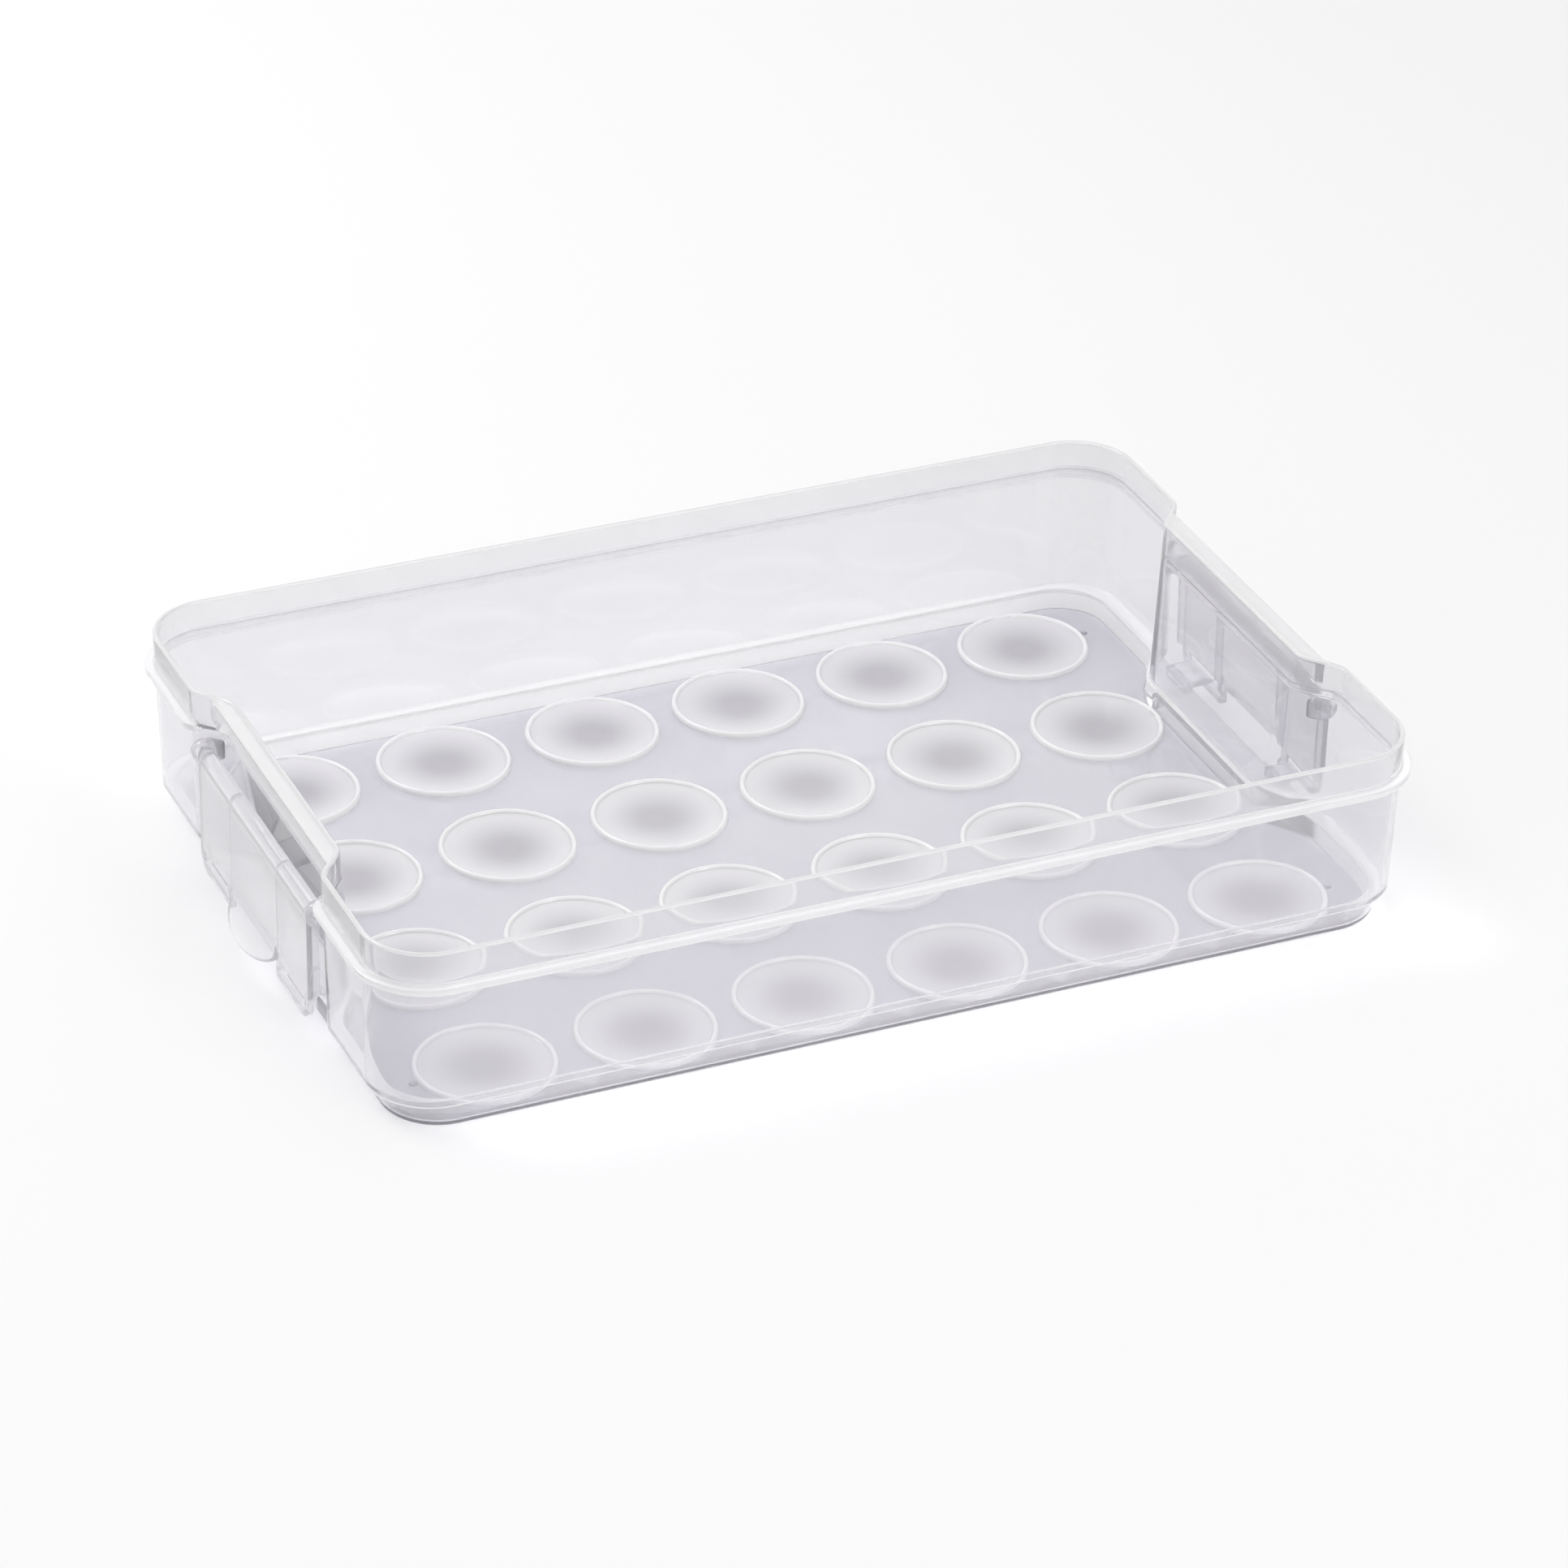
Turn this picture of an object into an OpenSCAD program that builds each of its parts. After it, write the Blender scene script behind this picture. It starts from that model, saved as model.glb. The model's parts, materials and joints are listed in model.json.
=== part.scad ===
// Clear refrigerator egg keeper: a drafted tray with a collar, a lift-out cup insert
// and a swing clip in a pocket at each end. Origin at the centre of the underside.

/* [Cups] */
// Cups along the length
cup_cols = 6; // [3:1:8]
// Cups across the width
cup_rows = 4; // [2:1:5]
// Radius of a cup's mouth
cup_r = 18.5; // [17:0.5:20]
// Space between two cups along the length
cup_gap_x = 10.5; // [8:0.5:16]
// Space between two cups across the width
cup_gap_y = 15.4; // [8:0.1:20]
// Width of the raised lip round a cup
lip_w = 1.8; // [1.4:0.1:2.6]
// Height of the raised lip above the plate
lip_h = 1.4; // [1:0.1:2.4]
// Thickness under the lowest point of a cup
cup_t = 0.9; // [0.7:0.1:1.2]

/* [Insert] */
// Thickness of the insert's plate
plate_t = 1.2; // [1:0.1:1.6]
// Gap between the insert's edge and the tray
insert_gap = 0.5; // [0.3:0.1:1]
// Gap between the insert and the tray's floor
seat_gap = 0.2; // [0.1:0.05:0.4]
// Radius of the small locating pips
pip_r = 1.3; // [1:0.1:1.6]
// Height of the small locating pips
pip_h = 0.7; // [0.4:0.1:1]

/* [Tray] */
// Height of the tray from its foot to its rim
tray_h = 58; // [54:1:70]
// Thickness of the tray's wall
wall = 1.6; // [1.4:0.1:2]
// Thickness of the tray's floor
floor_t = 1.2; // [1:0.1:1.6]
// Corner radius of the wall, seen from above
corner_r = 19; // [16:1:26]
// How far a wall leans out from foot to rim
draft = 1.2; // [0.8:0.1:2]
// Land between the cups' lips and the insert's long edges
side_land = 0.3; // [0.2:0.1:3]

/* [Foot] */
// Height of the foot
foot_h = 7.5; // [7.5:0.1:9]
// How far the foot steps in from the wall along the sides
foot_in = 2; // [1.6:0.1:3]
// How far the foot steps in from the wall at the ends
foot_in_end = 4.2; // [3:0.1:5]
// Radius of the foot's lower edge
foot_edge_r = 1.8; // [1.2:0.1:2.2]
// Radius inside the foot, where it meets the floor
well_r = 0.6; // [0.4:0.1:0.8]
// Bevel where the wall steps in to the foot
step_bevel = 0.9; // [0.5:0.1:1.2]

/* [Ledge and collar] */
// Height of the collar above the ledge
collar_h = 10; // [8:0.5:12]
// Thickness of the ledge
ledge_t = 2.2; // [1.8:0.1:3]
// How far the ledge stands out from the wall
ledge_out = 2.8; // [2:0.1:3.6]
// How far the crease stands out inside a pocket
crease_out = 0.5; // [0.3:0.1:0.8]
// Bevel on the ledge's edges
ledge_bevel = 0.5; // [0.3:0.1:0.8]

/* [End pockets] */
// Depth of a pocket at its foot
pocket_deep = 13.4; // [12:0.1:15]
// How far a pocket's back leans out from foot to rim
pocket_lean = 6.3; // [5.5:0.1:6.8]
// Half length of a pocket's back at the rim
pocket_half = 41; // [38:0.5:44]
// How much shorter the back is at the foot, at each end
pocket_taper = 8; // [5:0.5:10]
// Half length of a pocket's mouth
mouth_half = 56; // [54:0.5:60]
// Land between the end cups' lips and the insert's ends
pocket_land = 0.4; // [0.3:0.1:3]
// Step between the well inside the foot and a pocket's back
pocket_step = 0.6; // [0.4:0.1:1.2]
// How far the flange along a pocket's rim stands out
flange_out = 4.4; // [3:0.1:5.5]
// Height of the flange's skirt
skirt_h = 7.5; // [5:0.1:9]
// Drop of the flange below the rim
flange_drop = 0.2; // [0.1:0.1:0.4]

/* [Hinge] */
// Drop of the hinge axis below the ledge
hinge_drop = 4.5; // [4.2:0.1:5.5]
// Radius of a clip's pins
pin_r = 1.5; // [1.2:0.1:1.8]
// Running gap round a pin
pin_gap = 0.06; // [0.03:0.01:0.1]
// Radius of a lug round its bore
lug_r = 3.6; // [3.3:0.1:4]
// Thickness of a lug
lug_t = 3; // [2.4:0.1:3.6]
// Distance from the pocket's mouth corner to a lug
lug_inset = 7; // [6.5:0.1:8]
// Gap between a clip and a lug
clip_end_gap = 0.5; // [0.3:0.1:0.8]

/* [Clips] */
// Length of a clip from its axis to its lower edge
clip_len = 36; // [32:0.5:37]
// Thickness of a clip's plate
clip_t = 1.6; // [1.4:0.1:1.8]
// Radius of a clip's barrel
barrel_r = 2.4; // [2.2:0.1:2.8]
// Radius of the rolled lower rail
rail_r = 1.4; // [1.1:0.1:1.8]
// Radius of a clip's lower corners
clip_corner_r = 5; // [3:0.5:8]
// Half length of the finger lip
lip_half = 19; // [14:0.5:21]
// Bend radius of the finger lip
lip_bend_r = 9; // [7:0.5:11]
// Bend angle of the finger lip
lip_bend = 65; // [45:1:70]
// How far the finger lip's edge bows out
lip_bow = 4.5; // [3:0.25:5.5]
// Height of a catch window
window_h = 3.6; // [3.2:0.1:4.2]
// Space between a window and the lower edge
window_up = 2.8; // [2.6:0.1:3.6]
// Space between a window and the clip's ends and lip
window_in = 3; // [2.4:0.1:4]
// Depth of the stiffening ribs behind a clip
rib_deep = 2; // [1.2:0.1:2.6]
// Thickness of the stiffening ribs
rib_t = 1.2; // [1:0.1:1.6]

/* [Catches] */
// Length of a catch
catch_l = 13; // [10:1:16]
// Height of a catch
catch_h = 2; // [1.6:0.1:2.2]
// Gap between a catch and its window's lower edge
catch_gap = 0.7; // [0.5:0.1:1]

/* [Hidden] */

cup_facets = 64;
round_facets = 48;
bend_facets = 96;
lip_sweep = 150;
arc_steps = 8;
ease_steps = 6;
edge_steps = 3;
rim_steps = 4;
profile_steps = 8;
overlap = 0.01;

pitch_x = 2 * cup_r + cup_gap_x;
pitch_y = 2 * cup_r + cup_gap_y;
cup_edge_x = (cup_cols - 1) / 2 * pitch_x + cup_r;
cup_edge_y = (cup_rows - 1) / 2 * pitch_y + cup_r;

step_z = foot_h + wall;
plate_z = floor_t + seat_gap;
plate_top = plate_z + plate_t;
ledge_top = tray_h - collar_h;
ledge_z = ledge_top - ledge_t;

well_end_x = cup_edge_x + lip_w + pocket_land + insert_gap;
pocket_low_x = well_end_x + pocket_step + wall;
wall_low_x = pocket_low_x + pocket_deep;
wall_low_y = cup_edge_y + lip_w + side_land + insert_gap + wall + foot_in;
foot_x = wall_low_x - foot_in_end;
foot_y = wall_low_y - foot_in;
foot_corner_r = corner_r - foot_in;

hinge_x = wall_low_x;
hinge_z = ledge_z - hinge_drop;
lug_out_y = mouth_half - lug_inset;
lug_in_y = lug_out_y - lug_t;
clip_half = lug_in_y - clip_end_gap;
plate_x = hinge_x + barrel_r - clip_t;
clip_low_z = hinge_z - clip_len;
lip_top_z = clip_low_z + (lip_bend_r + clip_t) * sin(lip_bend);
window_z = clip_low_z + window_up;
catch_z = window_z + catch_gap;
core_z = foot_h - wall;

// How far up the wall a height lies, from 0 at the foot's step to 1 at the rim
function rise(z) = (z - foot_h) / (tray_h - foot_h);

// A smooth step from 0 to 1
function ease(t) = (1 - cos(180 * t)) / 2;

function wall_x(z) = wall_low_x + draft * rise(z);
function wall_y(z) = wall_low_y + draft * rise(z);
function pocket_x(z) = pocket_low_x + pocket_lean * rise(z);
function back_half(z) = pocket_half - pocket_taper * (1 - rise(z));

// x of the end wall's outer face at height z and distance y from the middle
function end_face(y, z) =
    let (t = (mouth_half - y) / (mouth_half - back_half(z)))
    wall_x(z) - (wall_x(z) - pocket_x(z)) * ease(min(max(t, 0), 1));

flange_x = pocket_x(tray_h) + flange_out;
flange_z = tray_h - flange_drop;
flange_part = (wall_x(tray_h) - flange_x) / (wall_x(tray_h) - pocket_x(tray_h));
flange_half = mouth_half - (mouth_half - pocket_half) * acos(1 - 2 * flange_part) / 180;

// Quarter arc of a corner about its centre
function corner_arc(x, y, r, a0) =
    [for (i = [0:arc_steps]) let (a = a0 + 90 * i / arc_steps) [x + r * cos(a), y + r * sin(a)]];

// The +X half of an outline: a corner, the pocket's eased sides, and the other corner
function half_outline(hx, hy, r, px, back, mouth) = concat(
    corner_arc(hx - r, r - hy, r, -90),
    [for (i = [0:ease_steps]) let (t = i / ease_steps)
        [hx - (hx - px) * ease(t), -mouth + (mouth - back) * t]],
    [for (i = [0:ease_steps]) let (t = 1 - i / ease_steps)
        [hx - (hx - px) * ease(t), mouth - (mouth - back) * t]],
    corner_arc(hx - r, hy - r, r, 0)
);

// A whole outline: the half and its copy turned half way round
function outline(hx, hy, r, px, back, mouth) =
    let (half = half_outline(hx, hy, r, px, back, mouth))
    concat(half, [for (p = half) -p]);

function at_height(points, z) = [for (p = points) [p[0], p[1], z]];

// A ring of the wall's skin, set in from the outer face, with the ledge's reach added
function wall_ring(z, inset, out = 0, crease = 0) = at_height(outline(
    wall_x(z) - inset + out, wall_y(z) - inset + out, corner_r - inset + out,
    pocket_x(z) - inset + crease, back_half(z) + inset / 2, mouth_half + inset / 2), z);

// A ring of the foot's outer skin, which runs straight across under the pockets
function foot_ring(z, inset) = at_height(outline(
    foot_x - inset, foot_y - inset, foot_corner_r - inset,
    foot_x - inset, back_half(foot_h), mouth_half), z);

// The outline of the well inside the foot, which follows the pockets
function well_outline(inset) = outline(
    foot_x - wall - inset, foot_y - wall - inset, foot_corner_r - wall - inset,
    well_end_x - inset, back_half(foot_h) + pocket_step, mouth_half + pocket_step);

function well_ring(z, inset) = at_height(well_outline(inset), z);

outer_rings = concat(
    [for (i = [0:edge_steps]) let (a = 90 * i / edge_steps)
        foot_ring(foot_edge_r * (1 - cos(a)), foot_edge_r * (1 - sin(a)))],
    [foot_ring(foot_h - step_bevel / 2, 0),
     wall_ring(foot_h, step_bevel),
     wall_ring(foot_h + step_bevel, 0),
     wall_ring(ledge_z, 0),
     wall_ring(ledge_z, 0, ledge_out - ledge_bevel, crease_out / 2),
     wall_ring(ledge_z + ledge_bevel, 0, ledge_out, crease_out),
     wall_ring(ledge_top - ledge_bevel, 0, ledge_out, crease_out),
     wall_ring(ledge_top, 0, ledge_out - ledge_bevel, crease_out / 2),
     wall_ring(ledge_top, 0)]
);

rim_rings = [for (i = [0:rim_steps]) let (a = 180 * i / rim_steps)
    wall_ring(tray_h - wall / 2 * (1 - sin(a)), wall / 2 * (1 - cos(a)))];

inner_rings = concat(
    [wall_ring(step_z + step_bevel, wall),
     wall_ring(step_z, wall + step_bevel, 0, step_bevel),
     well_ring(step_z, 0)],
    [for (i = [0:edge_steps]) let (a = 90 * i / edge_steps)
        well_ring(floor_t + well_r * (1 - sin(a)), well_r * (1 - cos(a)))]
);

// A closed skin through rings of equal length, from the first ring to the last
module skin(rings) {
    n = len(rings[0]);
    last = (len(rings) - 1) * n;
    polyhedron(
        points = [for (ring = rings) each ring],
        faces = concat(
            [[for (j = [0:n - 1]) j]],
            [for (i = [0:len(rings) - 2], j = [0:n - 1])
                [i * n + j, (i + 1) * n + j, (i + 1) * n + (j + 1) % n]],
            [for (i = [0:len(rings) - 2], j = [0:n - 1])
                [i * n + j, (i + 1) * n + (j + 1) % n, i * n + (j + 1) % n]],
            [[for (j = [n - 1:-1:0]) last + j]]
        ),
        convexity = 8
    );
}

// Repeats its children at both ends of the tray
module both_ends() {
    children();
    rotate([0, 0, 180]) children();
}

// A round bar along Y between two distances from the middle
module bar_y(r, y0, y1) {
    translate([0, y1, 0]) rotate([90, 0, 0]) cylinder(r = r, h = y1 - y0, $fn = round_facets);
}

// A hinge lug that grows out of the pocket's side wall
module hinge_lug() {
    mid = (lug_in_y + lug_out_y) / 2;
    root = [for (y = [lug_out_y, mid, lug_in_y]) [end_face(y, hinge_z) - wall / 2, y]];
    translate([0, 0, hinge_z - lug_r])
        linear_extrude(2 * lug_r)
            polygon(concat([[hinge_x, lug_in_y], [hinge_x, lug_out_y]], root));
    translate([hinge_x, 0, hinge_z]) bar_y(lug_r, lug_in_y, lug_out_y);
}

// A catch on the pocket's shelf, with a sloping nose that stands in a clip's window
module catch_block() {
    nose_x = plate_x + clip_t / 2;
    root_x = foot_x - wall - catch_h;
    middle = (lip_half + clip_half) / 2;
    translate([0, middle + catch_l / 2, 0]) rotate([90, 0, 0]) linear_extrude(catch_l)
        polygon([[root_x, core_z + wall / 2], [foot_x - wall / 2, core_z + wall / 2],
            [foot_x - wall / 2, catch_z], [nose_x, catch_z], [nose_x, catch_z + catch_h / 2],
            [nose_x - catch_h, catch_z + catch_h], [root_x, catch_z + catch_h]]);
}

// The hollow moulded up under a pocket's shelf
module shelf_core() {
    core_x = well_end_x + wall;
    core_half = back_half(foot_h);
    translate([core_x, -core_half, -overlap])
        cube([foot_x - wall - core_x, 2 * core_half, core_z + overlap]);
}

// The flange and skirt that turn out along a pocket's rim, between its slanted sides
module rim_flange() {
    root_x = pocket_x(tray_h) - wall / 2;
    steps = 2 * (ease_steps + edge_steps);
    root = [for (i = [0:steps]) let (y = flange_half * (1 - 2 * i / steps))
        [end_face(abs(y), tray_h) - wall / 2, y]];
    intersection() {
        translate([0, flange_half, 0]) rotate([90, 0, 0]) linear_extrude(2 * flange_half)
            polygon([[root_x, flange_z - wall], [flange_x - wall, flange_z - wall],
                [flange_x - wall, tray_h - skirt_h], [flange_x, tray_h - skirt_h],
                [flange_x, flange_z - ledge_bevel], [flange_x - ledge_bevel, flange_z],
                [root_x, flange_z]]);
        translate([0, 0, tray_h - skirt_h - overlap]) linear_extrude(skirt_h)
            polygon(concat([[flange_x + overlap, -flange_half], [flange_x + overlap, flange_half]], root));
    }
}

module tray_shell() {
    color([0.86, 0.86, 0.9, 0.45])
        difference() {
            union() {
                skin(concat(outer_rings, rim_rings, inner_rings));
                both_ends() {
                    rim_flange();
                    hinge_lug();
                    mirror([0, 1, 0]) hinge_lug();
                    catch_block();
                    mirror([0, 1, 0]) catch_block();
                }
            }
            both_ends() {
                shelf_core();
                translate([hinge_x, 0, hinge_z]) {
                    bar_y(pin_r + pin_gap, clip_half, lug_out_y + overlap);
                    bar_y(pin_r + pin_gap, -lug_out_y - overlap, -clip_half);
                }
            }
        }
}

// Half section of one cup: a raised lip and a shallow elliptical dish on a flat underside
module cup_section() {
    lip_r = lip_w / 2;
    dish_r = cup_r + lip_r + lip_r * cos(lip_sweep);
    dish_z = plate_top + lip_h * sin(lip_sweep);
    dish_deep = dish_z - plate_z - cup_t;
    polygon(concat(
        [[0, plate_z], [cup_r + lip_w, plate_z], [cup_r + lip_w, plate_top]],
        [for (i = [0:profile_steps]) let (a = lip_sweep * i / profile_steps)
            [cup_r + lip_r + lip_r * cos(a), plate_top + lip_h * sin(a)]],
        [for (i = [1:profile_steps]) let (a = 90 * i / profile_steps)
            [dish_r * cos(a), dish_z - dish_deep * sin(a)]]
    ));
}

// Repeats its children at every cup
module each_cup() {
    for (i = [0:cup_cols - 1], j = [0:cup_rows - 1])
        translate([(i - (cup_cols - 1) / 2) * pitch_x, (j - (cup_rows - 1) / 2) * pitch_y, 0])
            children();
}

module egg_insert() {
    pip_x = cup_edge_x + lip_w + pip_r;
    pip_y = (cup_edge_y + mouth_half) / 2 + 3 * pip_r;
    color([0.9, 0.9, 0.93, 0.55]) {
        translate([0, 0, plate_z]) linear_extrude(plate_t)
            difference() {
                polygon(well_outline(insert_gap));
                each_cup() circle(r = cup_r + lip_w / 2, $fn = cup_facets);
            }
        each_cup() rotate_extrude($fn = cup_facets) cup_section();
        for (x = [-pip_x, pip_x], y = [-pip_y, pip_y])
            translate([x, y, plate_top - overlap])
                cylinder(r = pip_r, h = pip_h + overlap, $fn = round_facets);
    }
}

// The clip's plate seen along X, with its lower corners rounded
module clip_face() {
    wide = clip_half - clip_corner_r;
    translate([-clip_half, clip_corner_r]) square([2 * clip_half, clip_len - clip_corner_r]);
    translate([-wide, 0]) square([2 * wide, clip_corner_r + overlap]);
    for (y = [-wide, wide])
        translate([y, clip_corner_r]) circle(r = clip_corner_r, $fn = round_facets);
}

// The finger lip: the plate's middle bent outwards, with its edge bowed in plan
module finger_lip() {
    bend_x = plate_x + clip_t + lip_bend_r;
    tip_x = bend_x - lip_bend_r * cos(lip_bend);
    bow_r = (lip_half * lip_half + lip_bow * lip_bow) / (2 * lip_bow);
    reach = 2 * (lip_bend_r + clip_t);
    intersection() {
        translate([bend_x, lip_half, lip_top_z]) rotate([90, 0, 0]) linear_extrude(2 * lip_half)
            intersection() {
                difference() {
                    circle(r = lip_bend_r + clip_t, $fn = bend_facets);
                    circle(r = lip_bend_r, $fn = bend_facets);
                }
                polygon([[0, 0], [-reach, 0], [-reach, -reach * tan(lip_bend)]]);
            }
        translate([tip_x - bow_r, 0, clip_low_z - clip_t])
            cylinder(r = bow_r, h = clip_len, $fn = 2 * bend_facets);
    }
}

// The swing clip at the +X end, hanging closed in its pocket
module clip() {
    window_l = clip_half - lip_half - 2 * window_in;
    difference() {
        union() {
            translate([plate_x, 0, clip_low_z]) rotate([90, 0, 90]) linear_extrude(clip_t) clip_face();
            translate([hinge_x, 0, hinge_z]) {
                bar_y(barrel_r, -clip_half, clip_half);
                bar_y(pin_r, -lug_out_y, lug_out_y);
            }
            for (y = [-clip_half, clip_half - rib_t, -lip_half - rib_t, lip_half])
                translate([plate_x - rib_deep, y, window_z + window_h])
                    cube([rib_deep + clip_t / 2, rib_t, hinge_z - window_z - window_h]);
            translate([plate_x + clip_t - rail_r, 0, clip_low_z + rail_r])
                bar_y(rail_r, -clip_half + clip_corner_r, clip_half - clip_corner_r);
        }
        translate([hinge_x - barrel_r - rib_deep, -lip_half, clip_low_z - overlap])
            cube([2 * barrel_r + 2 * rib_deep, 2 * lip_half, lip_top_z - clip_low_z + overlap]);
        for (y = [-clip_half + window_in, lip_half + window_in])
            translate([plate_x - rib_deep, y, window_z])
                cube([clip_t + 2 * rib_deep, window_l, window_h]);
    }
    finger_lip();
}

module clip_left() {
    color([0.82, 0.82, 0.87, 0.5]) rotate([0, 0, 180]) clip();
}

module clip_right() {
    color([0.82, 0.82, 0.87, 0.5]) clip();
}

tray_shell();
egg_insert();
clip_left();
clip_right();
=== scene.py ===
import json
import math

import bpy
import numpy as np
from mathutils import Matrix, Vector


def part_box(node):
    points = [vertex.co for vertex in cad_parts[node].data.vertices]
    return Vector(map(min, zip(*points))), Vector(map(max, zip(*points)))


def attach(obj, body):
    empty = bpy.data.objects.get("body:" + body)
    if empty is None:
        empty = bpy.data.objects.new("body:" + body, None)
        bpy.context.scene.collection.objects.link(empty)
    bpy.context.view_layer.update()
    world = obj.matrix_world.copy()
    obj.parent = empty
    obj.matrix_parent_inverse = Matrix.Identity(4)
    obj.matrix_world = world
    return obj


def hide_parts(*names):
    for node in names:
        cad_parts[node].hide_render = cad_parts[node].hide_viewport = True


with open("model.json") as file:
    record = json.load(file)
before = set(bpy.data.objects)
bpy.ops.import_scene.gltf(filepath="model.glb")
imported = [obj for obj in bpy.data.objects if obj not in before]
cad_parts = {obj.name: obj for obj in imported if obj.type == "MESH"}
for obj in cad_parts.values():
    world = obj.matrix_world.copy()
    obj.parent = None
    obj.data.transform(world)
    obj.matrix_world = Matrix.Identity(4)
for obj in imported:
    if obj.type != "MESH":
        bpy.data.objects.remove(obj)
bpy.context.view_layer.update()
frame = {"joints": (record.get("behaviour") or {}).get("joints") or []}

# Tray. One clear moulding: a stepped foot, drafted walls, a ledge, a collar above it, and a
# pocket in each end wall with a flange along its rim. It is a lofted skin of even thickness,
# glossy and slightly milky.
tray_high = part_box("tray_shell")[1]
joints = {j["name"]: j for j in frame["joints"]}
hinge_place = joints["clip_right_hinge"]["pos_m"]
hinge_x, hinge_z = hinge_place[0], hinge_place[2]
tray_top = tray_high.z
wall = 0.0016
wall_low_x = hinge_x
draft = 0.0012
draft_at_ledge = 0.00095
ledge_out = 0.0028
wall_low_y = tray_high.y - ledge_out - draft_at_ledge
corner_r = 0.019
foot_h = 0.0075
foot_in, foot_in_end = 0.002, 0.0042
foot_edge = 0.0018
step_edge = 0.0009
step_z = foot_h + wall
well_r = 0.0006
floor_t = 0.0012
collar_h = 0.010
ledge_t = 0.0022
ledge_top = tray_top - collar_h
ledge_z = ledge_top - ledge_t
ledge_edge = 0.0006
crease_out = 0.0005
pocket_deep = 0.0134
pocket_lean = 0.0063
pocket_low_x = wall_low_x - pocket_deep
pocket_half = 0.041
pocket_taper = 0.008
pocket_step = 0.0006
mouth_half = 0.056
flange_out = 0.0044
flange_drop = 0.0002
flange_x = pocket_low_x + pocket_lean + flange_out
flange_z = tray_top - flange_drop
skirt_h = 0.0075
foot_x = wall_low_x - foot_in_end
foot_y = wall_low_y - foot_in
foot_corner = corner_r - foot_in


def rise(z):
    """Share of the way up the wall, 0 at the foot's step and 1 at the rim."""
    return (z - foot_h) / (tray_top - foot_h)


def ease(t):
    """Smooth step: half a cosine wave from 0 to 1."""
    return (1 - np.cos(np.pi * np.clip(t, 0, 1))) / 2


def outline(hx, hy, r, px, back, mouth, arc_points=20, ease_points=30):
    """Closed plan outlines, one row for each height.

    The +X half is a quarter arc of radius r, a cosine slope from x = hx in to x = px while y goes
    from -mouth to -back, the same slope mirrored, and another quarter arc. The -X half is the
    same half turned round. Every argument is an array with one value for each row."""
    hx, hy, r, px, back, mouth = (v[:, None] for v in (hx, hy, r, px, back, mouth))
    turn = np.linspace(0, np.pi / 2, arc_points)[None, :]
    t = np.linspace(0, 1, ease_points)[None, :]
    low_arc = np.stack([hx - r + r * np.sin(turn), r - hy - r * np.cos(turn)], -1)
    slope_x = hx - (hx - px) * ease(t)
    slope_y = -mouth + (mouth - back) * t
    slope = np.stack([slope_x, slope_y], -1)
    mirror = [1, -1]
    half = np.concatenate([low_arc, slope, (slope * mirror)[:, ::-1], (low_arc * mirror)[:, ::-1]], 1)
    return np.concatenate([half, -half], 1)


def grid_faces(rows, cols, wrap_rows=False):
    """Quads of a grid whose columns close on themselves, wound so that a skin built from the
    bottom up and counter-clockwise faces outwards."""
    i = np.arange(rows if wrap_rows else rows - 1)[:, None]
    j = np.arange(cols)[None, :]
    i2, j2 = (i + 1) % rows, (j + 1) % cols
    return np.stack([i * cols + j, i * cols + j2, i2 * cols + j2, i2 * cols + j], -1).reshape(-1, 4)


def make_piece(name, points, faces, material, body, slot, smooth=True):
    """A mesh object at the origin from an array of points and lists of faces."""
    mesh = bpy.data.meshes.new(name)
    mesh.from_pydata(np.asarray(points).reshape(-1, 3).tolist(), [], [list(map(int, f)) for f in faces])
    mesh.validate()
    mesh.polygons.foreach_set("use_smooth", np.full(len(mesh.polygons), smooth))
    mesh.materials.append(material)
    piece = bpy.data.objects.new(name, mesh)
    bpy.context.scene.collection.objects.link(piece)
    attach(piece, body)
    return piece


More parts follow.
